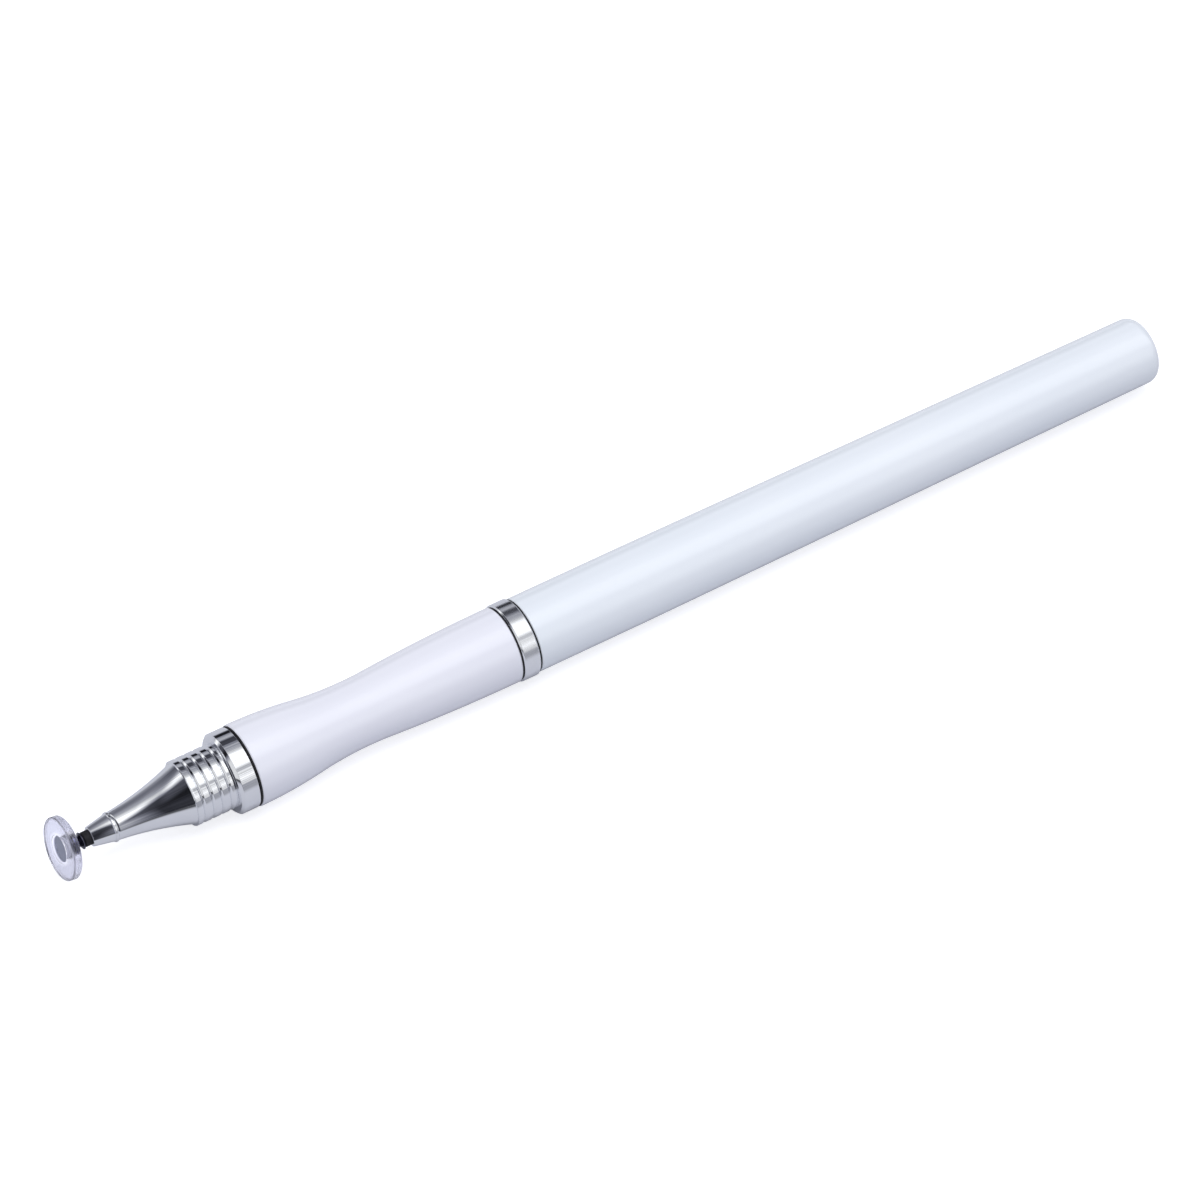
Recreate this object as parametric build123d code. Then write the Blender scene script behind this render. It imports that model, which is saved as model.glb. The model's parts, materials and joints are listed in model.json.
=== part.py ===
from build123d import *
import math
import os

# A disc stylus pen: a clear touch disc on a ball joint, a chrome nose, a waisted grip and a tapering barrel.
# It lies along X on the plane z = 0, with the disc at the low end of X and +Z up. Lengths are in millimetres.
# Every piece is turned, so each one is a half profile of (station, radius) points revolved about the axis.
# A station is a distance along the pen from the disc's touch face.

# Clearances
bond_gap = 0.02  # radial, between pieces that are glued, pressed or moulded together
thread_gap = 0.04  # radial, between the two sides of a thread
running_gap = 0.05  # radial and axial, where a piece turns in another
ball_gap = 0.03  # radial, between the ball and its socket
tilt_gap = 0.06  # axial, between the tilted socket and the pin

# Touch disc
disc_diameter = 6.9
disc_thickness = 0.98
disc_front_bevel = 0.1
disc_back_bevel = 0.2
contact_recess = 0.2
contact_margin = 0.1

# How the disc stands on its ball, in degrees: its lean at rest, which way it leans, and the most it can tilt
disc_lean_angle = 10.5
disc_lean_bearing = 90.0
disc_tilt_angle = 35.0
mouth_spare_angle = 3.0

# Socket cup, the metal insert that holds the ball
contact_flange_width = 0.31
contact_flange_thickness = 0.26
cup_face_wall = 0.42
cup_wall = 0.3
cup_rib_count = 2
cup_rib_height = 0.13

# Ball pin and its clip
ball_diameter = 1.6
neck_diameter = 0.8
shank_diameter = 0.9
pin_flange_overhang = 0.12
pin_flange_thickness = 0.15
pin_tail = 0.25
clip_width = 0.45
clip_thickness = 0.35

# Stem bush
bush_wall = 0.33
bush_exposed = 0.88
bush_seated = 2.0
bush_bevel = 0.16

# Tip ferrule
ferrule_tip_wall = 0.25
ferrule_flare = 0.45
ferrule_length = 2.66
bead_height = 0.13
bead_width = 0.34
bead_bevel = 0.09
spigot_step = 0.45
spigot_length = 3.85

# Nose cone, with its grooved land and its threaded tail
nose_lip_height = 0.05
nose_lip_bevel = 0.1
nose_length = 8.25
nose_front_angle = 6.0
land_diameter = 7.36
land_step = 0.24
land_plain = 0.54
groove_count = 4
groove_pitch = 1.05
groove_width = 0.42
groove_depth = 0.2
tail_wall = 0.65
tail_shortfall = 0.5
nose_neck_spare = 1.6

# Collar behind the nose
collar_length = 2.23
collar_set_in = 0.08
collar_front_bevel = 0.32
collar_back_bevel = 0.1

# Black seals that fill the parting lines
seal_thickness = 0.18
seal_set_in = 0.5

# Grip, and the insert in its front
body_diameter = 8.6  # outside of the grip where it meets the centre ring
grip_length = 31.7
grip_front_flare = 0.35
grip_waist_depth = 0.6
grip_waist_curve = 42.0
arc_piece_count = 6
grip_waist_wall = 0.93
grip_edge_bevel = 0.12
front_insert_wall = 0.56
front_insert_length = 6.0
front_insert_depth = 0.2

# Centre ring and the connector that carries it
ring_proud = 0.12
ring_length = 1.98
ring_bevel = 0.14
connector_seat_length = 8.0
connector_land_step = 0.4
connector_thread_length = 8.0
connector_wall = 1.1
connector_lead_bevel = 0.3

# Barrel, with its insert and its plug
barrel_set_in = 0.05
barrel_length = 80.31
barrel_straight_length = 14.0
barrel_taper = 0.42
barrel_front_wall = 1.03
barrel_bore_step = 0.2
barrel_front_bevel = 0.12
barrel_end_round = 1.35
barrel_end_rim = 1.5
barrel_insert_wall = 0.56
barrel_insert_length = 8.0
barrel_insert_depth = 0.4
plug_length = 5.0
plug_bevel = 0.12

# Shares of the sizes that they follow
waist_station_share = 0.426
rib_width_share = 0.6
end_round_rim_share = 0.9

# Radii at the tip, outwards from the ball and from the pin's shank
ball_radius = ball_diameter / 2
cavity_radius = ball_radius + ball_gap
cup_radius = cavity_radius + cup_wall
contact_radius = cup_radius + contact_flange_width
disc_radius = disc_diameter / 2
disc_face_radius = disc_radius - disc_front_bevel
shank_radius = shank_diameter / 2
shank_bore_radius = shank_radius + running_gap
bush_radius = shank_bore_radius + bush_wall
bush_bore_radius = bush_radius + bond_gap
ferrule_tip_radius = bush_bore_radius + ferrule_tip_wall
ferrule_base_radius = ferrule_tip_radius + ferrule_flare
spigot_radius = ferrule_base_radius - spigot_step
spigot_bore_radius = spigot_radius + thread_gap
nose_front_radius = ferrule_base_radius + nose_lip_height
land_radius = land_diameter / 2

# Radii of the body, inwards from its outside
body_radius = body_diameter / 2
grip_front_radius = body_radius + grip_front_flare
grip_waist_radius = body_radius - grip_waist_depth
grip_bore_radius = grip_waist_radius - grip_waist_wall
tail_bore_radius = grip_bore_radius - bond_gap - front_insert_wall
tail_radius = tail_bore_radius - thread_gap
collar_radius = grip_front_radius - collar_set_in
ring_radius = body_radius + ring_proud
barrel_radius = body_radius - barrel_set_in
barrel_end_radius = barrel_radius - barrel_taper
insert_bore_radius = barrel_radius - barrel_front_wall
thread_bore_radius = insert_bore_radius - bond_gap - barrel_insert_wall
thread_radius = thread_bore_radius - thread_gap
connector_land_radius = thread_radius + connector_land_step
ring_bore_radius = connector_land_radius + bond_gap
plug_bore_radius = barrel_end_radius - barrel_end_rim
plug_radius = plug_bore_radius - bond_gap

# The cup's mouth is as wide as the neck needs at the full tilt, and the pin's shoulder stays clear of the cup
neck_angle = math.degrees(math.asin(neck_diameter / 2 / cavity_radius))
mouth_angle = math.radians(disc_tilt_angle + neck_angle + mouth_spare_angle)
mouth_radius = cavity_radius * math.sin(mouth_angle)
mouth_reach = cavity_radius * math.cos(mouth_angle)
ball_station = contact_recess + cup_face_wall + cavity_radius
cup_end = ball_station + mouth_reach
rib_pitch = (cup_end - disc_thickness) / cup_rib_count
rib_radius = cup_radius + cup_rib_height
tilt = math.radians(disc_tilt_angle)
tilted_cup_reach = mouth_reach * math.cos(tilt) + rib_radius * math.sin(tilt)
shoulder_radius = rib_radius * math.cos(tilt) - mouth_reach * math.sin(tilt)
shoulder_length = (shoulder_radius - neck_diameter / 2) * math.tan(tilt)

# Stations, from the pin to the barrel's end
pin_flange_front = ball_station + tilted_cup_reach + tilt_gap
pin_flange_back = pin_flange_front + pin_flange_thickness
bush_front = pin_flange_back + running_gap
ferrule_tip = bush_front + bush_exposed
bush_end = ferrule_tip + bush_seated
nose_front = ferrule_tip + ferrule_length
spigot_end = nose_front + spigot_length
clip_front = spigot_end + running_gap
clip_back = clip_front + clip_thickness
pin_end = clip_back + pin_tail
land_front = nose_front + nose_length
collar_front = land_front + groove_count * groove_pitch + land_plain
collar_end = collar_front + collar_length
grip_front = collar_end + seal_thickness
front_insert_end = grip_front + front_insert_depth + front_insert_length
tail_end = front_insert_end - tail_shortfall
grip_end = grip_front + grip_length
ring_front = grip_end + seal_thickness
ring_end = ring_front + ring_length
barrel_front = ring_end + seal_thickness
barrel_insert_end = barrel_front + barrel_insert_depth + barrel_insert_length
barrel_end = barrel_front + barrel_length

# Where the pen lies: its middle over the origin, its widest turn on the plane
lean = math.radians(disc_lean_angle)
front_reach = ball_station * math.cos(lean) + disc_face_radius * math.sin(lean)
middle_station = (ball_station - front_reach + barrel_end) / 2
axis_height = max(grip_front_radius, ring_radius, land_radius)
ball_centre = (ball_station - middle_station, 0, axis_height)
lean_bearing = math.radians(disc_lean_bearing)
tilt_direction = (0, math.sin(lean_bearing), -math.cos(lean_bearing))


def turned(*edges):
    """Revolve a closed half profile about the pen's axis."""
    return revolve(make_face(edges), Axis.X)


def turned_corners(*corners):
    """Revolve a half profile of straight lines."""
    return turned(Polyline(*corners, close=True))


def tube(start, end, inner_radius, outer_radius):
    """A plain turned ring or sleeve."""
    return turned_corners(
        (start, inner_radius), (start, outer_radius), (end, outer_radius), (end, inner_radius)
    )


def bevelled_ring(start, end, inner_radius, outer_radius, front_bevel, back_bevel):
    """A turned ring with both outer edges bevelled."""
    return turned_corners(
        (start, inner_radius),
        (start, outer_radius - front_bevel),
        (start + front_bevel, outer_radius),
        (end - back_bevel, outer_radius),
        (end, outer_radius - back_bevel),
        (end, inner_radius),
    )


def level_curve(low, high, low_curve):
    """Two tangent arcs from a low point to a high one, level at both; low_curve is the lower arc's radius.

    The high arc is cut into pieces, because a mesh of it in one piece comes out uneven.
    """
    run = high[0] - low[0]
    rise = high[1] - low[1]
    both_curves = (run**2 + rise**2) / (2 * rise)
    share = low_curve / both_curves
    bend = (low[0] + share * run, low[1] + share * rise)
    low_arc = TangentArc(low, bend, tangent=(run, 0))
    high_arc = TangentArc(high, bend, tangent=(-run, 0))
    cuts = [high_arc.trim(n / arc_piece_count, (n + 1) / arc_piece_count) for n in range(arc_piece_count)]
    return [low_arc, *cuts]


def touch_disc():
    """Clear disc with a bevelled rim, a recess in its face and a stepped hole for the socket cup."""
    hole = cup_radius + bond_gap
    flange_hole = contact_radius + bond_gap
    flange_back = contact_recess + contact_flange_thickness
    return turned_corners(
        (0, flange_hole + contact_margin),
        (0, disc_face_radius),
        (disc_front_bevel, disc_radius),
        (disc_thickness - disc_back_bevel, disc_radius),
        (disc_thickness, disc_radius - disc_back_bevel),
        (disc_thickness, hole),
        (flange_back, hole),
        (flange_back, flange_hole),
        (contact_recess, flange_hole),
        (contact_recess, flange_hole + contact_margin),
    )


def socket_cup():
    """Metal insert: a round contact in the disc's face, and behind the disc a ribbed cup round the ball."""
    cavity_front = ball_station - cavity_radius
    flange_back = contact_recess + contact_flange_thickness
    outside = [
        (cavity_front, 0),
        (contact_recess, 0),
        (contact_recess, contact_radius),
        (flange_back, contact_radius),
        (flange_back, cup_radius),
    ]
    for number in range(cup_rib_count):
        rib_end = disc_thickness + (number + 1) * rib_pitch
        rib_start = rib_end - rib_width_share * rib_pitch
        outside += [(rib_start, cup_radius), (rib_start, rib_radius)]
        outside += [(rib_end, rib_radius), (rib_end, cup_radius)]
    outside.append((cup_end, mouth_radius))
    cavity = ThreePointArc((cup_end, mouth_radius), (ball_station, cavity_radius), (cavity_front, 0))
    return turned(Polyline(*outside), cavity)


def ball_pin():
    """Steel pin: the ball, a neck, a coned shoulder, a flange on the bush, and a shank down to the clip."""
    neck_radius = neck_diameter / 2
    ball_front = ball_station - ball_radius
    neck_front = ball_station + math.sqrt(ball_radius**2 - neck_radius**2)
    flange_radius = bush_radius + pin_flange_overhang
    ball = ThreePointArc((ball_front, 0), (ball_station, ball_radius), (neck_front, neck_radius))
    stem = Polyline(
        (neck_front, neck_radius),
        (pin_flange_front - shoulder_length, neck_radius),
        (pin_flange_front, shoulder_radius),
        (pin_flange_front, flange_radius),
        (pin_flange_back, flange_radius),
        (pin_flange_back, shank_radius),
        (pin_end, shank_radius),
        (pin_end, 0),
        (ball_front, 0),
    )
    return turned(ball, stem)


def pin_clip():
    """Push-on ring that keeps the pin in the ferrule."""
    return tube(clip_front, clip_back, shank_radius + bond_gap, shank_radius + clip_width)


def stem_bush():
    """Black bush between the pin and the ferrule, with a bevelled nose."""
    return turned_corners(
        (bush_front, shank_bore_radius),
        (bush_front, bush_radius - bush_bevel),
        (bush_front + bush_bevel, bush_radius),
        (bush_end, bush_radius),
        (bush_end, shank_bore_radius),
    )


def tip_ferrule():
    """Chrome cone with a bead at the parting line and a threaded spigot behind it."""
    bead_front = nose_front - bead_width
    bead_radius = ferrule_base_radius + bead_height
    return turned_corners(
        (bead_front, ferrule_base_radius),
        (bead_front, bead_radius - bead_bevel),
        (bead_front + bead_bevel, bead_radius),
        (nose_front - bead_bevel, bead_radius),
        (nose_front, bead_radius - bead_bevel),
        (nose_front, spigot_radius),
        (spigot_end, spigot_radius),
        (spigot_end, shank_bore_radius),
        (bush_end, shank_bore_radius),
        (bush_end, bush_bore_radius),
        (ferrule_tip, bush_bore_radius),
        (ferrule_tip, ferrule_tip_radius),
    )


def nose_cone():
    """Chrome flared cone with a land of V grooves, and a hollow threaded tail for the grip."""
    flare_front = (nose_front + nose_lip_bevel, nose_front_radius)
    flare_end = (land_front, land_radius - land_step)
    front_slope = math.tan(math.radians(nose_front_angle))
    flare = TangentArc(flare_front, flare_end, tangent=(1, front_slope))
    land = [flare_end, (land_front, land_radius)]
    for number in range(groove_count):
        groove_end = land_front + (number + 1) * groove_pitch
        groove_bottom = groove_end - groove_width / 2
        land.append((groove_end - groove_width, land_radius))
        land.append((groove_bottom, land_radius - groove_depth))
        land.append((groove_end, land_radius))
    core_radius = tail_radius - tail_wall
    neck_end = pin_end + nose_neck_spare
    tail_and_bore = [
        (collar_front, land_radius),
        (collar_front, tail_radius),
        (tail_end, tail_radius),
        (tail_end, core_radius),
        (neck_end, core_radius),
        (neck_end, spigot_bore_radius),
        (nose_front, spigot_bore_radius),
        (nose_front, nose_front_radius - nose_lip_bevel),
        flare_front,
    ]
    return turned(flare, Polyline(*land, *tail_and_bore))


def nose_collar():
    """Chrome ring clamped between the nose and the grip."""
    return bevelled_ring(
        collar_front, collar_end, tail_bore_radius, collar_radius, collar_front_bevel, collar_back_bevel
    )


def collar_seal():
    """Black washer that shows as the line between the collar and the grip."""
    return tube(collar_end, grip_front, tail_bore_radius, collar_radius - seal_set_in)


def front_insert():
    """Threaded brass insert in the grip's front, which takes the nose's tail."""
    start = grip_front + front_insert_depth
    return tube(start, front_insert_end, tail_bore_radius, grip_bore_radius - bond_gap)


def grip_tube():
    """White lacquered tube, waisted for the fingers."""
    curve_front = (grip_front + grip_edge_bevel, grip_front_radius)
    curve_end = (grip_end - grip_edge_bevel, body_radius)
    waist = (grip_front + waist_station_share * grip_length, grip_waist_radius)
    ends_and_bore = Polyline(
        curve_end,
        (grip_end, body_radius - grip_edge_bevel),
        (grip_end, grip_bore_radius),
        (grip_front, grip_bore_radius),
        (grip_front, grip_front_radius - grip_edge_bevel),
        curve_front,
    )
    return turned(
        *level_curve(waist, curve_front, grip_waist_curve),
        *level_curve(waist, curve_end, grip_waist_curve),
        ends_and_bore,
    )


def centre_connector():
    """Brass core pressed into the grip's rear: a land for the ring and a threaded spigot for the barrel."""
    seat_radius = grip_bore_radius - bond_gap
    seat_front = grip_end - connector_seat_length
    thread_end = barrel_front + connector_thread_length
    bore_radius = thread_radius - connector_wall
    return turned_corners(
        (seat_front, bore_radius),
        (seat_front, seat_radius),
        (grip_end, seat_radius),
        (grip_end, connector_land_radius),
        (barrel_front, connector_land_radius),
        (barrel_front, thread_radius),
        (thread_end - connector_lead_bevel, thread_radius),
        (thread_end, thread_radius - connector_lead_bevel),
        (thread_end, bore_radius),
    )


def ring_seal_front():
    """Black washer between the grip and the centre ring."""
    return tube(grip_end, ring_front, ring_bore_radius, body_radius - seal_set_in)


def centre_ring():
    """Chrome ring between the two halves of the pen, slightly proud of both."""
    return bevelled_ring(ring_front, ring_end, ring_bore_radius, ring_radius, ring_bevel, ring_bevel)


def ring_seal_rear():
    """Black washer between the centre ring and the barrel."""
    return tube(ring_end, barrel_front, ring_bore_radius, barrel_radius - seal_set_in)


def barrel_insert():
    """Threaded brass insert in the barrel's front."""
    start = barrel_front + barrel_insert_depth
    return tube(start, barrel_insert_end, thread_bore_radius, insert_bore_radius - bond_gap)


def barrel_tube():
    """White lacquered tube with a straight stretch, a long slight taper and a rounded end."""
    bore_radius = insert_bore_radius - barrel_bore_step
    end_round = min(barrel_end_round, end_round_rim_share * barrel_end_rim)
    straight_end = (barrel_front + barrel_straight_length, barrel_radius)
    taper_end = (barrel_end - end_round, barrel_end_radius)
    end_corner = (barrel_end, barrel_end_radius - end_round)
    taper = Line(straight_end, taper_end)
    bore_and_front = Polyline(
        end_corner,
        (barrel_end, plug_bore_radius),
        (barrel_end - plug_length, plug_bore_radius),
        (barrel_end - plug_length, bore_radius),
        (barrel_insert_end, bore_radius),
        (barrel_insert_end, insert_bore_radius),
        (barrel_front, insert_bore_radius),
        (barrel_front, barrel_radius - barrel_front_bevel),
        (barrel_front + barrel_front_bevel, barrel_radius),
        straight_end,
    )
    return turned(taper, TangentArc(taper_end, end_corner, tangent=taper % 1), bore_and_front)


def end_plug():
    """Plug pressed into the barrel's end, flush with it."""
    return turned_corners(
        (barrel_end - plug_length, 0),
        (barrel_end - plug_length, plug_radius),
        (barrel_end - plug_bevel, plug_radius),
        (barrel_end, plug_radius - plug_bevel),
        (barrel_end, 0),
    )


pieces = [
    touch_disc,
    socket_cup,
    ball_pin,
    pin_clip,
    stem_bush,
    tip_ferrule,
    nose_cone,
    nose_collar,
    collar_seal,
    front_insert,
    grip_tube,
    centre_connector,
    ring_seal_front,
    centre_ring,
    ring_seal_rear,
    barrel_insert,
    barrel_tube,
    end_plug,
]
leaning_pieces = [touch_disc, socket_cup]

os.makedirs("parts", exist_ok=True)
lie = Location((-middle_station, 0, axis_height))
tilt_axis = Axis(ball_centre, tilt_direction)
for piece in pieces:
    solid = lie * piece()
    if piece in leaning_pieces:
        solid = solid.rotate(tilt_axis, disc_lean_angle)
    export_step(solid, f"parts/{piece.__name__}.step")
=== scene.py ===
"""Looks for the disc stylus pen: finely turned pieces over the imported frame, materials and a soft studio."""

import json
import math
from collections import namedtuple

import bpy
from mathutils import Matrix, Vector


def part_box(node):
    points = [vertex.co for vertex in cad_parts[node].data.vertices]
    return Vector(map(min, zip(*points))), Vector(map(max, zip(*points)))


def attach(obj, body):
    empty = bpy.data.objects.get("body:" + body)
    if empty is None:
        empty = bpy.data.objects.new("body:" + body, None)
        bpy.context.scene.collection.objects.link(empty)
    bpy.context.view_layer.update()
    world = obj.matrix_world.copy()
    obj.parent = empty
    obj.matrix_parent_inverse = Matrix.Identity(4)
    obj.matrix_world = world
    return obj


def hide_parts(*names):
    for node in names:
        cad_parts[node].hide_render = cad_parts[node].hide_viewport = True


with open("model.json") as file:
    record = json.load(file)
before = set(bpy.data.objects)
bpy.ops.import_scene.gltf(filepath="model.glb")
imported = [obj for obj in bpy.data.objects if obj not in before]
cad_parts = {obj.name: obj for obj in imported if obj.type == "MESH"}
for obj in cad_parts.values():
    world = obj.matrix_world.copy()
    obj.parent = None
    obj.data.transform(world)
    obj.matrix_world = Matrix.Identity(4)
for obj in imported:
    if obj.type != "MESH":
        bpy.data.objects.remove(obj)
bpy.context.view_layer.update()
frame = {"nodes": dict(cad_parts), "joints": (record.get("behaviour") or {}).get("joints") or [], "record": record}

# The pieces' lengths are in millimetres: x along the pen from the frame's origin, r from the pen's axis.
MM = 0.001

# Disc and cup; depths are measured from the touch face
DISC_RADIUS = 3.45
DISC_THICKNESS = 0.98
DISC_BEVEL = 0.1
DISC_BACK_BEVEL = 0.2
DISC_ROUND = 0.06
RECESS_RADIUS = 1.56
CONTACT_RECESS = 0.2
CONTACT_BACK = 0.32
CONTACT_RADIUS = 1.44
CUP_RADIUS = 1.13
CAVITY_RADIUS = 0.83
MOUTH_RADIUS = 0.763
RIB_RADIUS = 1.26
RIB_COUNT = 2
RIB_SHARE = 0.6
BALL_DEPTH = 1.45

# Pin and bush
BALL_RADIUS = 0.8
NECK_RADIUS = 0.4
SHOULDER_RADIUS = 0.84
SHOULDER_LENGTH = 0.31
SHANK_RADIUS = 0.45
FLANGE_THICKNESS = 0.15
FLANGE_GAP = 0.05
SHANK_BORE = 0.5
BUSH_BEVEL = 0.16

# Ferrule
FERRULE_TIP_RADIUS = 1.1
FERRULE_BASE_RADIUS = 1.55
BEAD_WIDTH = 0.34
BEAD_ROUND = 0.1
SPIGOT_RADIUS = 1.1
SPIGOT_PITCH = 0.5

# Nose
NOSE_FRONT_RADIUS = 1.6
NOSE_LIP = 0.1
NOSE_LENGTH = 8.25
NOSE_FRONT_ANGLE = math.radians(6)
LAND_STEP = 0.24
GROOVE_COUNT = 4
GROOVE_PITCH = 1.05
GROOVE_WIDTH = 0.42
GROOVE_DEPTH = 0.2
TAIL_RADIUS = 2.15
TAIL_PITCH = 0.7
TAIL_RELIEF = 0.4
CORE_RADIUS = 1.5
NECK_BORE = 1.14
NECK_SPARE = 1.6

# Collar, ring, seals and grip
COLLAR_FRONT_BEVEL = 0.32
COLLAR_BACK_BEVEL = 0.16
COLLAR_BORE = 2.19
RING_BEVEL = 0.14
RING_BORE = 3.02
SEAL_DEPTH = 0.1
REAR_SEAL_DEPTH = 0.02
GRIP_WAIST_SHARE = 0.426
GRIP_WAIST_RADIUS = 3.7
GRIP_REAR_RADIUS = 4.3
GRIP_WAIST_CURVE = 42.0
GRIP_BORE = 2.77

# Connector and barrel
CONNECTOR_SEAT_RADIUS = 2.75
CONNECTOR_LAND_RADIUS = 3.0
CONNECTOR_THREAD_RADIUS = 2.6
CONNECTOR_BORE = 1.5
CONNECTOR_PITCH = 0.75
CONNECTOR_RELIEF = 0.3
CONNECTOR_LEAD = 0.3
BARREL_STRAIGHT = 14.0
BARREL_END_RADIUS = 3.83
BARREL_END_ROUND = 1.35
BARREL_BORE = 3.02
BARREL_INSERT_BORE = 3.22
BARREL_INSERT_END = 8.4
THREAD_BORE = 2.64
PLUG_BORE = 2.33
PLUG_LENGTH = 5.0
PLUG_ROUND = 0.12

# Shared by several pieces
EDGE_ROUND = 0.12
FINE_ROUND = 0.05
FIT_GAP = 0.02
THREAD_RUNOUT = 0.2
THREAD_DEPTH_SHARE = 0.5

# Fineness of the meshes
SEGMENTS = 192
CURVE_STEPS = 40
ROUND_STEPS = 6
THREAD_STEPS = 10
SHARP_ANGLE = math.radians(40)
TINY = 1e-6

nodes = frame["nodes"]
slot_of = {part["node"]: part["material_slot"] for part in frame["record"]["subparts"]}
body_of = {node: body for body, names in frame["record"]["behaviour"]["bodies"].items() for node in names}
axis_height = sum(corner.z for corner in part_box("barrel_tube")) / 2 / MM


def span(node):
    """Where a node starts and ends along the pen."""
    low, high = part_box(node)
    return low.x / MM, high.x / MM


def reach(node):
    """A node's largest radius."""
    return max(math.hypot(v.co.y / MM, v.co.z / MM - axis_height) for v in nodes[node].data.vertices)


def lean_matrix():
    """The disc's place at rest, and the ball's x; half way between the tilt's limits the disc is straight."""
    joint = next(joint for joint in frame["joints"] if joint["name"] == "disc_tilt")
    low, high = joint["range_deg"]
    centre = Vector(joint["pos_m"])
    turn = Matrix.Rotation(-math.radians(low + high) / 2, 4, Vector(joint["axis"]))
    to_axis = Matrix.Translation((0, 0, axis_height * MM))
    return Matrix.Translation(centre) @ turn @ Matrix.Translation(-centre) @ to_axis, centre.x / MM


# Stations along the pen, and radii, as the frame has them
leaned, ball_x = lean_matrix()
face = ball_x - BALL_DEPTH
disc_back = face + DISC_THICKNESS
cup_end = ball_x + math.sqrt(CAVITY_RADIUS**2 - MOUTH_RADIUS**2)
ball_front, pin_end = span("ball_pin")
clip_front, clip_end = span("pin_clip")
bush_front, bush_end = span("stem_bush")
ferrule_tip, spigot_end = span("tip_ferrule")
nose_front, tail_end = span("nose_cone")
land_front = nose_front + NOSE_LENGTH
collar_front, collar_end = span("nose_collar")
insert_front, insert_end = span("front_insert")
grip_front, grip_end = span("grip_tube")
seat_front, thread_end = span("centre_connector")
ring_front, ring_end = span("centre_ring")
barrel_front, barrel_end = span("barrel_tube")
barrel_insert_front, barrel_insert_end = span("barrel_insert")

bush_radius = reach("stem_bush")
bead_radius = reach("tip_ferrule")
land_radius = reach("nose_cone")
collar_radius = reach("nose_collar")
grip_radius = reach("grip_tube")
ring_radius = reach("centre_ring")
barrel_radius = reach("barrel_tube")
plug_radius = reach("end_plug")

# Looks: colours, scales of marks in cells a metre, and depths of marks in millimetres
LACQUER_CLOUDS = 45
LACQUER_SHEEN = 420
LACQUER_SHEEN_SPREAD = 0.03
LACQUER_PEEL = 1300
LACQUER_PEEL_DEPTH = 0.01
METAL_CLOUDS = 260
CLOUD_SPAN = (0.3, 0.7)
LATHE_MARKS = 9000
LATHE_MARK_DEPTH = 0.004
RUBBER_GRAIN = 7000
RUBBER_GRAIN_DEPTH = 0.01
RUBBER_DARK = (0.006, 0.006, 0.008)
RUBBER_LIGHT = (0.018, 0.018, 0.022)
CHROME_DARK = (0.83, 0.84, 0.875)
CHROME_LIGHT = (0.87, 0.88, 0.91)

# Hub's colours, and how far behind the touch face they change; the dark rings, violet stripes and dark rear rib
# are painted reflections, and the pale boss is lifted as painted light
CONTACT_GREY = (0.31, 0.33, 0.42)
# The boss's own pale, lifted as painted light against the shade it sits in behind the disc
HUB_PALE = (0.88, 0.88, 0.94)
# Painted reflection: near black where the rings and the rear rib mirror a dark room
HUB_PAINTED_DARK = (0.012, 0.012, 0.028)
# Painted reflection: the lighter stripes between the dark rings
HUB_PAINTED_STRIPE = (0.2, 0.2, 0.3)
HUB_PALE_START = 0.23
HUB_PALE_END = 0.42
HUB_PAINTED_DARK_RINGS = [(0.5, 0.6), (0.7, 0.8), (0.9, 0.98)]
HUB_RING_GAP = 0.1
BOSS_START = 1.0
BOSS_END = 1.45
BOSS_FRONT_EDGE = 0.01
BOSS_BACK_EDGE = 0.02

# Disc's tint: paler near the contact as painted light, deeper further out, deeper edge on, partly as painted
# shade, and greyer on worn edges, partly as painted shade
# Painted light: paler over the hub, so that the shaded boss seen through the disc reads pale
DISC_PAINTED_LIGHT_TINT = (0.86, 0.865, 0.95)
DISC_TINT = (0.645, 0.655, 0.785)
# Deeper edge on: partly the longer path through the plastic, partly painted shade that draws the rim lines
DISC_EDGE_TINT = (0.52, 0.525, 0.615)
# Painted shade: the worn edges are greyed so that they draw the disc's dark edge lines
DISC_EDGE_SHADE_TINT = (0.55, 0.55, 0.66)
DISC_PAINTED_LIGHT_SPAN = (1.6, 2.0)
DISC_FACING_SPAN = (0.2, 0.75)
DISC_FRONT_RUB_AND_SHADE = (0.12, 0.34)
DISC_BACK_RUB_AND_SHADE = (0.22, 0.3)
DISC_RUB_ROUGHNESS = 0.25
DISC_FLOW = 900
DISC_FLOW_DEPTH = 0.01
DISC_HAZE = 3000
DISC_IOR = 1.49


def join(tree, node, inputs):
    """Set a shader node's inputs, or link those that are given another node's socket."""
    for name, value in inputs.items():
        if isinstance(value, bpy.types.NodeSocket):
            tree.links.new(value, node.inputs[name])
        else:
            node.inputs[name].default_value = value


def add(tree, kind, inputs=None, **settings):
    """Add a shader node with its settings and inputs."""
    made = tree.nodes.new(kind)
    for name, value in settings.items():
        setattr(made, name, value)
    join(tree, made, inputs or {})
    return made


def ramp(tree, factor, stops):
    """A colour ramp with stops (position, colour)."""
    made = add(tree, "ShaderNodeValToRGB", {"Fac": factor})
    elements = made.color_ramp.elements
    while len(elements) < len(stops):
        elements.new(1)
    for element, (position, colour) in zip(elements, stops):
        element.position = position
        element.color = (*colour, 1)
    return made.outputs["Color"]


def levels(tree, factor, stops):
    """A ramp of grey levels with stops (position, level)."""
    return ramp(tree, factor, [(position, (level, level, level)) for position, level in stops])


def maths(tree, operation, first, second):
    """One sum on two values."""
    return add(tree, "ShaderNodeMath", {0: first, 1: second}, operation=operation).outputs["Value"]


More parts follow.
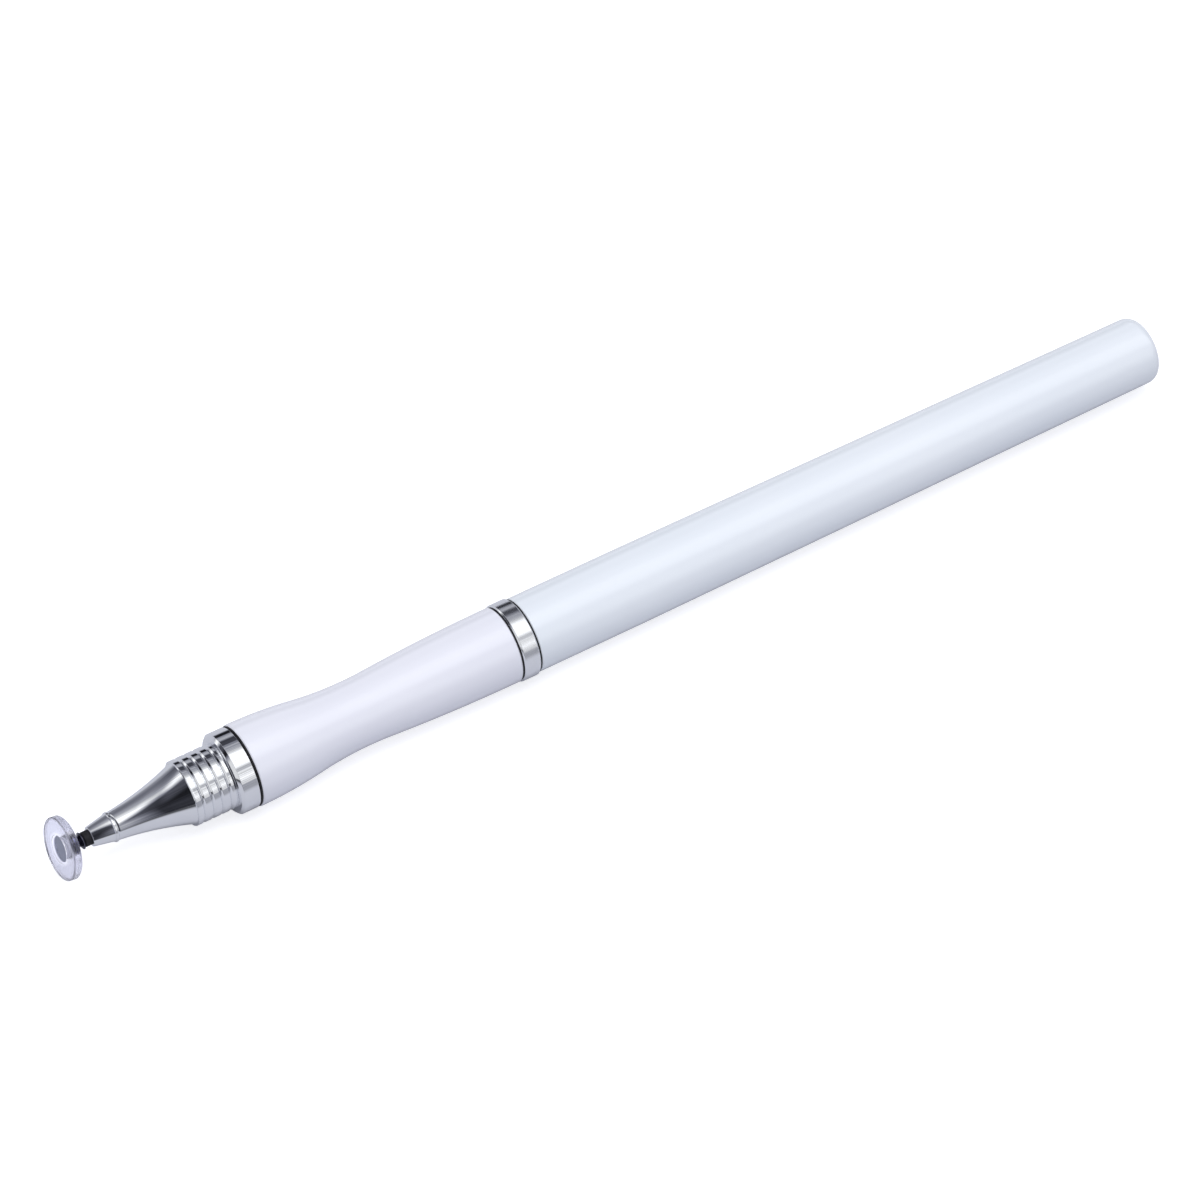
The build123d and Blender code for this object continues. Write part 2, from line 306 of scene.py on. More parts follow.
def between(tree, value, start, end, low=0.0, high=1.0):
    """Low up to the value start, high from the value end, and even steps between them."""
    inputs = {"Value": value, "From Min": start, "From Max": end, "To Min": low, "To Max": high}
    return add(tree, "ShaderNodeMapRange", inputs).outputs["Result"]


def spread(tree, factor, low, high):
    """Map a 0 to 1 factor to a range."""
    return between(tree, factor, 0.0, 1.0, low, high)


def mixed(tree, factor, first, second):
    """From one level to another by a factor."""
    return add(tree, "ShaderNodeMix", {0: factor, 2: first, 3: second}).outputs[0]


def mixed_colour(tree, factor, first, second):
    """From one colour to another by a factor; the first may be a socket."""
    start = first if isinstance(first, bpy.types.NodeSocket) else (*first, 1)
    return add(tree, "ShaderNodeMix", {0: factor, 6: start, 7: (*second, 1)}, data_type="RGBA").outputs[2]


def noise(tree, place, scale, detail=2.0):
    """Noise through the piece."""
    return add(tree, "ShaderNodeTexNoise", {"Vector": place, "Scale": scale, "Detail": detail}).outputs["Fac"]


def streaks(tree, position, scale, detail):
    """Noise along one measure."""
    inputs = {"W": position, "Scale": scale, "Detail": detail}
    return add(tree, "ShaderNodeTexNoise", inputs, noise_dimensions="1D").outputs["Fac"]


def turned_place(tree):
    """Where a point was on the lathe, with the piece's own axis along x."""
    return add(tree, "ShaderNodeAttribute", attribute_name="turned").outputs["Vector"]


def along_and_radius(tree, place):
    """A point's distance along the piece's own axis, and from it."""
    parts = add(tree, "ShaderNodeSeparateXYZ", {"Vector": place}).outputs
    across = add(tree, "ShaderNodeCombineXYZ", {"Y": parts["Y"], "Z": parts["Z"]}).outputs["Vector"]
    return parts["X"], add(tree, "ShaderNodeVectorMath", {0: across}, operation="LENGTH").outputs["Value"]


def rings_of(tree, place, scale):
    """Noise that is the same all the way round the piece's axis, like the marks of a lathe."""
    return streaks(tree, maths(tree, "ADD", *along_and_radius(tree, place)), scale, 3.0)


def clouds(tree, place, scale, dark, light):
    """A colour that drifts between two shades."""
    return ramp(tree, noise(tree, place, scale), list(zip(CLOUD_SPAN, (dark, light))))


def bump(tree, height, strength, depth):
    """A bump from a height."""
    inputs = {"Height": height, "Strength": strength, "Distance": depth * MM}
    return add(tree, "ShaderNodeBump", inputs).outputs["Normal"]


def new_material(name):
    """A material with its node tree and its shader."""
    made = bpy.data.materials.new(name)
    made.use_nodes = True
    return made, made.node_tree, made.node_tree.nodes["Principled BSDF"]


def white_finish(name, dark, light, rough, peel):
    """Glossy cool white: lacquer or moulded plastic, slightly uneven in colour, gloss and surface."""
    made, tree, shader = new_material(name)
    place = turned_place(tree)
    sheen = noise(tree, place, LACQUER_SHEEN)
    join(tree, shader, {
        "Base Color": clouds(tree, place, LACQUER_CLOUDS, dark, light),
        "Roughness": spread(tree, sheen, rough - LACQUER_SHEEN_SPREAD, rough + LACQUER_SHEEN_SPREAD),
        "Coat Weight": 0.5,
        "Coat Roughness": 0.05,
        "Normal": bump(tree, noise(tree, place, LACQUER_PEEL, 1.0), peel, LACQUER_PEEL_DEPTH),
    })
    return made


def metal(name, dark, light, smooth, rough, marks):
    """Turned metal: fine rings in its gloss and surface, and a slight cloud in its colour."""
    made, tree, shader = new_material(name)
    place = turned_place(tree)
    turned = rings_of(tree, place, LATHE_MARKS)
    join(tree, shader, {
        "Base Color": clouds(tree, place, METAL_CLOUDS, dark, light),
        "Metallic": 1.0,
        "Roughness": spread(tree, turned, smooth, rough),
        "Normal": bump(tree, turned, marks, LATHE_MARK_DEPTH),
    })
    return made


def hub_metal(name):
    """Hub: a grey contact, dark rings with violet stripes inside the disc as painted reflections, a pale moulded
    boss behind it lifted as painted light, and a painted dark rear rib.
    """
    made, tree, shader = new_material(name)
    place = turned_place(tree)
    turned = rings_of(tree, place, LATHE_MARKS)
    along, _ = along_and_radius(tree, place)
    depth = between(tree, along, face * MM, cup_end * MM)
    length = cup_end - face
    colours = [(CONTACT_RECESS, CONTACT_GREY), (HUB_PALE_START, HUB_PALE), (HUB_PALE_END, HUB_PALE)]
    # Painted reflections: dark rings with lighter stripes between them, as a glossy ribbed hub mirrors the room
    for start, end in HUB_PAINTED_DARK_RINGS:
        colours += [(start, HUB_PAINTED_DARK), (end, HUB_PAINTED_DARK), (end + HUB_RING_GAP / 2, HUB_PAINTED_STRIPE)]
    # The boss follows the last ring, in place of one more gap.
    colours[-1] = (BOSS_START, HUB_PALE)
    colours += [(BOSS_END, HUB_PALE), (BOSS_END + BOSS_BACK_EDGE, HUB_PAINTED_DARK)]
    bare = [
        (BOSS_START - BOSS_FRONT_EDGE, 1.0),
        (BOSS_START, 0.0),
        (BOSS_END, 0.0),
        (BOSS_END + BOSS_BACK_EDGE, 1.0),
    ]
    join(tree, shader, {
        "Base Color": ramp(tree, depth, [(position / length, colour) for position, colour in colours]),
        "Metallic": levels(tree, depth, [(position / length, level) for position, level in bare]),
        "Roughness": spread(tree, turned, 0.18, 0.32),
        "Normal": bump(tree, turned, 0.15, LATHE_MARK_DEPTH),
    })
    return made


def rubber(name):
    """Matt black with a fine grain."""
    made, tree, shader = new_material(name)
    grain = noise(tree, turned_place(tree), RUBBER_GRAIN, 4.0)
    join(tree, shader, {
        "Base Color": ramp(tree, grain, [(0.3, RUBBER_DARK), (0.75, RUBBER_LIGHT)]),
        "Roughness": spread(tree, grain, 0.5, 0.72),
        "Specular IOR Level": 0.35,
        "Normal": bump(tree, grain, 0.3, RUBBER_GRAIN_DEPTH),
    })
    return made


def disc_rub_and_edge_shade(tree, along, radius):
    """How worn the disc is, which also places its painted edge shade: fully on its two edges, and not at all
    further in.
    """
    inward = maths(tree, "SUBTRACT", DISC_RADIUS * MM, radius)
    from_front = maths(tree, "ADD", inward, maths(tree, "SUBTRACT", along, face * MM))
    from_back = maths(tree, "ADD", inward, maths(tree, "SUBTRACT", disc_back * MM, along))
    front = between(tree, from_front, DISC_FRONT_RUB_AND_SHADE[0] * MM, DISC_FRONT_RUB_AND_SHADE[1] * MM, 1.0, 0.0)
    back = between(tree, from_back, DISC_BACK_RUB_AND_SHADE[0] * MM, DISC_BACK_RUB_AND_SHADE[1] * MM, 1.0, 0.0)
    return maths(tree, "MAXIMUM", front, back)


def clear_plastic(name):
    """Clear moulded plastic with a lavender tint, flow rings, haze, worn edges greyed partly with painted shade, a
    painted lightening near the contact and painted shade where seen edge on.
    """
    made, tree, shader = new_material(name)
    place = turned_place(tree)
    along, radius = along_and_radius(tree, place)
    rub_and_edge_shade = disc_rub_and_edge_shade(tree, along, radius)
    # Deeper tint where the disc is seen edge on, partly painted shade for its dark rim lines
    edge_on = add(tree, "ShaderNodeLayerWeight", {"Blend": 0.3}).outputs["Facing"]
    tint = ramp(tree, edge_on, list(zip(DISC_FACING_SPAN, (DISC_TINT, DISC_EDGE_TINT))))
    # Painted light: a paler tint near the contact, over the shaded hub behind it
    inside = between(tree, radius, DISC_PAINTED_LIGHT_SPAN[1] * MM, DISC_PAINTED_LIGHT_SPAN[0] * MM)
    tint = mixed_colour(tree, inside, tint, DISC_PAINTED_LIGHT_TINT)
    haze = spread(tree, noise(tree, place, DISC_HAZE, 3.0), 0.08, 0.2)
    join(tree, shader, {
        # Painted shade greys the worn edges; their rougher gloss below is the real wear
        "Base Color": mixed_colour(tree, rub_and_edge_shade, tint, DISC_EDGE_SHADE_TINT),
        "Roughness": maths(tree, "ADD", haze, maths(tree, "MULTIPLY", rub_and_edge_shade, DISC_RUB_ROUGHNESS)),
        "IOR": DISC_IOR,
        "Transmission Weight": 1.0,
        "Normal": bump(tree, rings_of(tree, place, DISC_FLOW), 0.08, DISC_FLOW_DEPTH),
    })
    return made


materials = {
    "clear_plastic": clear_plastic("clear_plastic_look"),
    "dark_metal": hub_metal("dark_metal_look"),
    "pin_steel": metal(
        "pin_steel_look", (0.07, 0.07, 0.10), (0.10, 0.10, 0.14), smooth=0.16, rough=0.30, marks=0.15
    ),
    "black_rubber": rubber("black_rubber_look"),
    "chrome": metal("chrome_look", CHROME_DARK, CHROME_LIGHT, smooth=0.03, rough=0.08, marks=0.02),
    "brass": metal("brass_look", (0.66, 0.47, 0.19), (0.76, 0.57, 0.26), smooth=0.18, rough=0.34, marks=0.2),
    "white_lacquer": white_finish(
        "white_lacquer_look", (0.755, 0.80, 0.885), (0.78, 0.82, 0.90), rough=0.14, peel=0.05
    ),
    "white_plastic": white_finish(
        "white_plastic_look", (0.76, 0.80, 0.885), (0.785, 0.825, 0.905), rough=0.28, peel=0.08
    ),
}

# Nodes whose finish differs a little from the rest of their slot
own_finish = {
    "centre_ring": metal("ring_chrome_look", CHROME_DARK, CHROME_LIGHT, smooth=0.12, rough=0.2, marks=0.05),
    "grip_tube": white_finish(
        "grip_lacquer_look", (0.772, 0.782, 0.885), (0.795, 0.805, 0.90), rough=0.14, peel=0.05
    ),
}

# A thread form cut into a profile between two stations, at its radius; depth is positive outwards
Thread = namedtuple("Thread", "start end radius pitch depth")


def shaft_thread(start, end, radius, pitch):
    """A thread cut into a shaft."""
    return Thread(start, end, radius, pitch, -THREAD_DEPTH_SHARE * pitch / 2)


def bore_thread(start, end, radius, pitch):
    """A thread cut into a bore."""
    return Thread(start, end, radius, pitch, THREAD_DEPTH_SHARE * pitch / 2)


def thread_rise(thread, x, turn):
    """How far a thread departs from its plain radius; it fades in and out over a pitch."""
    phase = (x / thread.pitch - turn) % 1
    fade = min(1, (x - thread.start) / thread.pitch, (thread.end - x) / thread.pitch)
    return thread.depth * fade * abs(2 * phase - 1)


def rounded(corners):
    """Profile points for corners (x, r, round), each corner turned on an arc of that radius."""
    points = []
    for number, (x, r, size) in enumerate(corners):
        corner = Vector((x, r))
        if not size:
            points.append(corner)
            continue
        back = (Vector(corners[number - 1][:2]) - corner).normalized()
        ahead = (Vector(corners[(number + 1) % len(corners)][:2]) - corner).normalized()
        half = back.angle(ahead) / 2
        centre = corner + (back + ahead).normalized() * size / math.sin(half)
        start = corner + back * size / math.tan(half) - centre
        end = corner + ahead * size / math.tan(half) - centre
        points += [centre + size * start.slerp(end, step / ROUND_STEPS) for step in range(ROUND_STEPS + 1)]
    return points


def arc_points(start, end, start_angle):
    """Points of the circular arc from start to end that leaves start at the given angle."""
    chord = Vector(end) - Vector(start)
    turn = 2 * (math.atan2(chord.y, chord.x) - start_angle)
    radius = chord.length / 2 / math.sin(turn / 2)
    points = []
    for step in range(CURVE_STEPS + 1):
        angle = start_angle + turn * step / CURVE_STEPS
        across = radius * (math.sin(angle) - math.sin(start_angle))
        up = radius * (math.cos(start_angle) - math.cos(angle))
        points.append((start[0] + across, start[1] + up))
    return points


def level_points(low, high, low_curve):
    """Points from low to high on two arcs, level at both ends; low_curve is the lower arc's radius."""
    run = high[0] - low[0]
    rise = high[1] - low[1]
    both_curves = (run**2 + rise**2) / (2 * rise)
    high_curve = both_curves - low_curve
    points = []
    for step in range(CURVE_STEPS + 1):
        share = step / CURVE_STEPS
        x = low[0] + share * run
        if share < low_curve / both_curves:
            r = low[1] + low_curve - math.sqrt(low_curve**2 - (x - low[0])**2)
        else:
            r = high[1] - high_curve + math.sqrt(high_curve**2 - (x - high[0])**2)
        points.append((x, r))
    return points


def plain(points):
    """Corners without rounding."""
    return [(x, r, 0) for x, r in points]


def threaded(start, end, radius, pitch):
    """Corners close enough together along x for a thread to be cut into them."""
    count = max(2, round(abs(end - start) / pitch * THREAD_STEPS))
    return plain((start + (end - start) * step / count, radius) for step in range(count + 1))


def sleeve(start, end, inner, outer, edge=0):
    """Corners of a plain turned ring, with its outer edges rounded by edge."""
    return [(start, inner, 0), (start, outer, edge), (end, outer, edge), (end, inner, 0)]


def bevelled(start, end, inner, outer, front_bevel, back_bevel):
    """Corners of a turned ring with bevelled outer edges."""
    return [
        (start, inner, 0),
        (start, outer - front_bevel, FINE_ROUND),
        (start + front_bevel, outer, FINE_ROUND),
        (end - back_bevel, outer, FINE_ROUND),
        (end, outer - back_bevel, FINE_ROUND),
        (end, inner, 0),
    ]


def turned_rings(profile, thread):
    """Vertices of a profile turned about x, and the numbers of those that each profile point gives."""
    vertices = []
    rings = []
    for x, r in profile:
        if r < TINY:
            rings.append([len(vertices)])
            vertices.append((x * MM, 0, 0))
            continue
        rings.append(range(len(vertices), len(vertices) + SEGMENTS))
        is_cut = thread and abs(r - thread.radius) < TINY and thread.start < x < thread.end
        for number in range(SEGMENTS):
            turn = number / SEGMENTS
            radius = r + thread_rise(thread, x, turn) if is_cut else r
            angle = 2 * math.pi * turn
            vertices.append((x * MM, radius * MM * math.cos(angle), radius * MM * math.sin(angle)))
    return vertices, rings


def ring_faces(rings):
    """Faces from each ring to the next, and from the last to the first."""
    faces = []
    for first, second in zip(rings, rings[1:] + rings[:1]):
        if len(first) == 1 and len(second) == 1:
            continue
        for number in range(SEGMENTS):
            after = (number + 1) % SEGMENTS
            if len(first) == 1:
                faces.append((first[0], second[after], second[number]))
            elif len(second) == 1:
                faces.append((first[number], first[after], second[0]))
            else:
                faces.append((first[number], first[after], second[after], second[number]))
    return faces


def lathe(node, corners, thread=None, placed=None):
    """Turn a closed profile into a mesh that stands for a node, on the pen's axis or where it is placed."""
    vertices, rings = turned_rings(rounded(corners), thread)
    mesh = bpy.data.meshes.new(node + "_turned")
    mesh.from_pydata(vertices, [], ring_faces(rings))
    turned = mesh.attributes.new("turned", "FLOAT_VECTOR", "POINT")
    for stored, vertex in zip(turned.data, vertices):
        stored.vector = vertex
    mesh.transform(placed or Matrix.Translation((0, 0, axis_height * MM)))
    mesh.shade_smooth()
    mesh.set_sharp_from_angle(angle=SHARP_ANGLE)
    mesh.materials.append(own_finish.get(node, materials[slot_of[node]]))
    piece = bpy.data.objects.new(node + "_turned", mesh)
    bpy.context.scene.collection.objects.link(piece)
    weighted = piece.modifiers.new("even_normals", "WEIGHTED_NORMAL")
    weighted.keep_sharp = True
    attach(piece, body_of[node])
    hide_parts(node)


def touch_disc():
    seat = CUP_RADIUS + FIT_GAP
    contact_seat = CONTACT_RADIUS + FIT_GAP
    corners = [
        (face, RECESS_RADIUS, FINE_ROUND),
        (face, DISC_RADIUS - DISC_BEVEL, DISC_ROUND),
        (face + DISC_BEVEL, DISC_RADIUS, DISC_ROUND),
        (disc_back - DISC_BACK_BEVEL, DISC_RADIUS, DISC_ROUND),
        (disc_back, DISC_RADIUS - DISC_BACK_BEVEL, DISC_ROUND),
        (disc_back, seat, 0),
        (face + CONTACT_BACK, seat, 0),
        (face + CONTACT_BACK, contact_seat, 0),
        (face + CONTACT_RECESS, contact_seat, 0),
        (face + CONTACT_RECESS, RECESS_RADIUS, 0),
    ]
    lathe("touch_disc", corners, placed=leaned)


def socket_cup():
    front = face + CONTACT_RECESS
    corners = [
        (ball_x - CAVITY_RADIUS, 0, 0),
        (front, 0, 0),
        (front, CONTACT_RADIUS, FINE_ROUND),
        (face + CONTACT_BACK, CONTACT_RADIUS, 0),
        (face + CONTACT_BACK, CUP_RADIUS, 0),
    ]
    pitch = (cup_end - disc_back) / RIB_COUNT
    for number in range(RIB_COUNT):
        rib_end = disc_back + (number + 1) * pitch
        rib_start = rib_end - RIB_SHARE * pitch
        corners += [
            (rib_start, CUP_RADIUS, 0),
            (rib_start, RIB_RADIUS, FINE_ROUND),
            (rib_end, RIB_RADIUS, FINE_ROUND),
            (rib_end, CUP_RADIUS, 0),
        ]
    corners.append((cup_end, MOUTH_RADIUS, 0))
    mouth = math.atan2(MOUTH_RADIUS, cup_end - ball_x)
    for step in range(1, CURVE_STEPS):
        angle = mouth + (math.pi - mouth) * step / CURVE_STEPS
        corners.append((ball_x + CAVITY_RADIUS * math.cos(angle), CAVITY_RADIUS * math.sin(angle), 0))
    lathe("socket_cup", corners, placed=leaned)


def ball_pin():
    neck = math.asin(NECK_RADIUS / BALL_RADIUS)
    corners = []
    for step in range(CURVE_STEPS + 1):
        angle = math.pi + (neck - math.pi) * step / CURVE_STEPS
        corners.append((ball_x + BALL_RADIUS * math.cos(angle), BALL_RADIUS * math.sin(angle), 0))
    corners[0] = (ball_front, 0, 0)
    flange_back = bush_front - FLANGE_GAP
    flange_front = flange_back - FLANGE_THICKNESS
    flange_radius = reach("ball_pin")
    corners += [
        (flange_front - SHOULDER_LENGTH, NECK_RADIUS, FINE_ROUND),
        (flange_front, SHOULDER_RADIUS, 0),
        (flange_front, flange_radius, FINE_ROUND),
        (flange_back, flange_radius, FINE_ROUND),
        (flange_back, SHANK_RADIUS, 0),
        (pin_end, SHANK_RADIUS, FINE_ROUND),
        (pin_end, 0, 0),
    ]
    lathe("ball_pin", corners)


def pin_clip():
    lathe("pin_clip", sleeve(clip_front, clip_end, SHANK_RADIUS + FIT_GAP, reach("pin_clip"), FINE_ROUND))


def stem_bush():
    corners = [
        (bush_front, SHANK_BORE, 0),
        (bush_front, bush_radius - BUSH_BEVEL, FINE_ROUND),
        (bush_front + BUSH_BEVEL, bush_radius, FINE_ROUND),
        (bush_end, bush_radius, 0),
        (bush_end, SHANK_BORE, 0),
    ]
    lathe("stem_bush", corners)


def tip_ferrule():
    bead_front = nose_front - BEAD_WIDTH
    bush_seat = bush_radius + FIT_GAP
    thread = shaft_thread(nose_front + THREAD_RUNOUT, spigot_end - THREAD_RUNOUT, SPIGOT_RADIUS, SPIGOT_PITCH)
    corners = [
        (bead_front, FERRULE_BASE_RADIUS, 0),
        (bead_front, bead_radius, BEAD_ROUND),
        (nose_front, bead_radius, BEAD_ROUND),
        (nose_front, SPIGOT_RADIUS, 0),
        *threaded(thread.start, thread.end, SPIGOT_RADIUS, SPIGOT_PITCH),
        (spigot_end, SPIGOT_RADIUS, FINE_ROUND),
        (spigot_end, SHANK_BORE, 0),
        (bush_end, SHANK_BORE, 0),
        (bush_end, bush_seat, 0),
        (ferrule_tip, bush_seat, 0),
        (ferrule_tip, FERRULE_TIP_RADIUS, FINE_ROUND),
    ]
    lathe("tip_ferrule", corners, thread)


def nose_cone():
    flare_front = (nose_front + NOSE_LIP, NOSE_FRONT_RADIUS)
    flare_end = (land_front, land_radius - LAND_STEP)
    corners = plain(arc_points(flare_front, flare_end, NOSE_FRONT_ANGLE))
    corners.append((land_front, land_radius, FINE_ROUND))
    for number in range(GROOVE_COUNT):
        groove_end = land_front + (number + 1) * GROOVE_PITCH
        corners += [
            (groove_end - GROOVE_WIDTH, land_radius, FINE_ROUND),
            (groove_end - GROOVE_WIDTH / 2, land_radius - GROOVE_DEPTH, FINE_ROUND),
            (groove_end, land_radius, FINE_ROUND),
        ]
    neck_end = pin_end + NECK_SPARE
    thread = shaft_thread(collar_end + TAIL_RELIEF, tail_end - THREAD_RUNOUT, TAIL_RADIUS, TAIL_PITCH)
    corners += [
        (collar_front, land_radius, FINE_ROUND),
        (collar_front, TAIL_RADIUS, 0),
        *threaded(thread.start, thread.end, TAIL_RADIUS, TAIL_PITCH),
        (tail_end, TAIL_RADIUS, FINE_ROUND),
        (tail_end, CORE_RADIUS, 0),
        (neck_end, CORE_RADIUS, 0),
        (neck_end, NECK_BORE, 0),
        (nose_front, NECK_BORE, 0),
        (nose_front, NOSE_FRONT_RADIUS - NOSE_LIP, FINE_ROUND),
    ]
    lathe("nose_cone", corners, thread)


def nose_collar():
    bevels = (COLLAR_FRONT_BEVEL, COLLAR_BACK_BEVEL)
    lathe("nose_collar", bevelled(collar_front, collar_end, COLLAR_BORE, collar_radius, *bevels))


def grip_tube():
    waist = (grip_front + GRIP_WAIST_SHARE * (grip_end - grip_front), GRIP_WAIST_RADIUS)
    front = level_points(waist, (grip_front + EDGE_ROUND, grip_radius), GRIP_WAIST_CURVE)
    rear = level_points(waist, (grip_end - EDGE_ROUND, GRIP_REAR_RADIUS), GRIP_WAIST_CURVE)
    corners = [
        (grip_front, GRIP_BORE, 0),
        (grip_front, grip_radius - EDGE_ROUND, FINE_ROUND),
        *plain(reversed(front)),
        *plain(rear[1:]),
        (grip_end, GRIP_REAR_RADIUS - EDGE_ROUND, FINE_ROUND),
        (grip_end, GRIP_BORE, 0),
    ]
    lathe("grip_tube", corners)


def centre_connector():
    thread = shaft_thread(
        barrel_front + CONNECTOR_RELIEF, thread_end - CONNECTOR_LEAD, CONNECTOR_THREAD_RADIUS, CONNECTOR_PITCH
    )
    corners = [
        (seat_front, CONNECTOR_BORE, 0),
        (seat_front, CONNECTOR_SEAT_RADIUS, FINE_ROUND),
        (grip_end, CONNECTOR_SEAT_RADIUS, 0),
        (grip_end, CONNECTOR_LAND_RADIUS, FINE_ROUND),
        (barrel_front, CONNECTOR_LAND_RADIUS, FINE_ROUND),
        (barrel_front, CONNECTOR_THREAD_RADIUS, 0),
        *threaded(thread.start, thread.end, CONNECTOR_THREAD_RADIUS, CONNECTOR_PITCH),
        (thread_end, CONNECTOR_THREAD_RADIUS - CONNECTOR_LEAD, FINE_ROUND),
        (thread_end, CONNECTOR_BORE, FINE_ROUND),
    ]
    lathe("centre_connector", corners, thread)


def centre_ring():
    lathe("centre_ring", bevelled(ring_front, ring_end, RING_BORE, ring_radius, RING_BEVEL, RING_BEVEL))


def insert(node, start, end, bore, pitch):
    """Brass insert with a thread cut into its bore."""
    thread = bore_thread(start + THREAD_RUNOUT, end - THREAD_RUNOUT, bore, pitch)
    corners = sleeve(start, end, bore, reach(node), FINE_ROUND)
    lathe(node, corners + threaded(thread.end, thread.start, bore, pitch), thread)


def barrel_tube():
    corners = [
        (barrel_front, BARREL_INSERT_BORE, 0),
        (barrel_front, barrel_radius - EDGE_ROUND, FINE_ROUND),
        (barrel_front + EDGE_ROUND, barrel_radius, FINE_ROUND),
        *plain((barrel_front + x, barrel_radius) for x in (BARREL_STRAIGHT / 2, BARREL_STRAIGHT)),
        (barrel_end - BARREL_END_ROUND, BARREL_END_RADIUS, 0),
    ]
    for step in range(1, CURVE_STEPS + 1):
        angle = math.pi / 2 * step / CURVE_STEPS
        x = barrel_end - BARREL_END_ROUND * (1 - math.sin(angle))
        corners.append((x, BARREL_END_RADIUS - BARREL_END_ROUND * (1 - math.cos(angle)), 0))
    corners += [
        (barrel_end, PLUG_BORE, 0),
        (barrel_end - PLUG_LENGTH, PLUG_BORE, 0),
        (barrel_end - PLUG_LENGTH, BARREL_BORE, 0),
        (barrel_front + BARREL_INSERT_END, BARREL_BORE, 0),
        (barrel_front + BARREL_INSERT_END, BARREL_INSERT_BORE, 0),
    ]
    lathe("barrel_tube", corners)


def end_plug():
    corners = [
        (barrel_end - PLUG_LENGTH, 0, 0),
        (barrel_end - PLUG_LENGTH, plug_radius, 0),
        (barrel_end, plug_radius, PLUG_ROUND),
        (barrel_end, 0, 0),
    ]
    lathe("end_plug", corners)


touch_disc()
socket_cup()
ball_pin()
pin_clip()
stem_bush()
tip_ferrule()
nose_cone()
nose_collar()
lathe("collar_seal", sleeve(collar_end, grip_front, COLLAR_BORE, grip_radius - SEAL_DEPTH))
insert("front_insert", insert_front, insert_end, COLLAR_BORE, TAIL_PITCH)
grip_tube()
centre_connector()
lathe("ring_seal_front", sleeve(grip_end, ring_front, RING_BORE, GRIP_REAR_RADIUS - SEAL_DEPTH))
centre_ring()
lathe("ring_seal_rear", sleeve(ring_end, barrel_front, RING_BORE, barrel_radius - REAR_SEAL_DEPTH))
insert("barrel_insert", barrel_insert_front, barrel_insert_end, THREAD_BORE, CONNECTOR_PITCH)
barrel_tube()
end_plug()

# Studio, in metres: a white floor and surround for the camera, soft light from above, and a grey room
# that metal mirrors
WHITE = (1, 1, 1)
BLACK = (0, 0, 0)
FLOOR_SIZE = 6.0
FLOOR_COLOUR = (0.56, 0.57, 0.625)
FLOOR_FILL = 0.69
SKY_LEVEL = 0.635
SKY_COLOUR = (0.98, 0.99, 1.0)
LAMP_SIZE = 0.6
LAMP_PLACE = (0, -0.1, 0.8)
LAMP_WATTS = 3.6

# Painted shadow: how much darker the near floor is where metal mirrors it, and more so ahead of the tip: spans of
# y and x
FLOOR_PAINTED_SHADE = 0.4
FLOOR_TIP_PAINTED_SHADE = 0.85
FLOOR_PAINTED_SHADE_SPAN = (-0.022, -0.045)
FLOOR_TIP_SPAN = (-0.04, -0.07)

# Grey levels round the pen's axis, as straight pieces mirror them; position 0 is the far horizon, 0.5 is
# overhead and 1 is the near horizon
ROOM_LEVELS = [
    (0.0, 0.3),
    (0.03, 0.015),
    (0.085, 0.015),
    (0.12, 0.45),
    (0.18, 0.45),
    (0.21, 0.05),
    (0.29, 0.08),
    (0.32, 0.36),
    (0.42, 0.5),
    (0.46, 0.9),
    (0.5, 1.45),
    (0.65, 1.45),
    (0.7, 0.85),
    (0.72, 0.4),
    (0.745, 0.8),
    (1.0, 0.72),
]
ROOM_NEAR_EDGE = [(0.88, 1.0), (0.92, 0.7), (0.955, 0.35), (0.985, 0.15)]
ROOM_NEAR_WALL = [(0.76, 0.0), (0.86, 0.27), (0.92, 0.3), (1.0, 0.26)]

# The same ahead of the tip, where the flared nose looks: there the soft box slants towards the far side
FRONT_SPAN = (0.22, 0.1)
FRONT_LEVELS = [
    (0.0, 0.45),
    (0.07, 0.28),
    (0.17, 0.15),
    (0.26, 0.22),
    (0.335, 0.35),
    (0.41, 0.5),
    (0.475, 0.82),
    (0.54, 1.25),
]
FRONT_SLANT = 0.9
FRONT_SLANT_START = -0.07
FRONT_SEAM_SPAN = (-0.3, -0.05)
FRONT_SEAM = [(0.1, 1.0), (0.35, 0.5), (0.55, 0.6), (0.85, 1.0)]
FRONT_NEAR_EDGE = [(0.64, 1.0), (0.7, 0.5), (0.76, 0.08), (0.9, 0.06), (1.0, 0.01)]
FRONT_NEAR_WALL = [(0.72, 0.05), (0.8, 0.6), (0.86, 1.0), (0.93, 0.88), (1.0, 0.67)]
FRONT_WALL_SPAN = (-0.2, 0.0)
FRONT_WALL_FOOT = 0.03
FRONT_WALL_LEVEL = 0.42

# A white wall straight ahead of the tip, on the near side, and streaks over everything else
WALL_AHEAD = 1.0
WALL_SHARE = 0.8
WALL_AHEAD_SPAN = (-0.45, -0.65)
WALL_NEAR_SPAN = (0.3, 0.05)
STREAK_SCALE = 45.0
STREAK_LEVELS = [(0.3, 0.7), (0.7, 1.3)]
MIRROR_SHADE = (0.84, 0.87, 1.1)
MIRROR_LIGHT_START = 0.7


def seen_rays(tree, rays):
    """1 for what the camera sees, straight or through the disc."""
    return maths(tree, "MAXIMUM", rays["Is Camera Ray"], rays["Is Transmission Ray"])


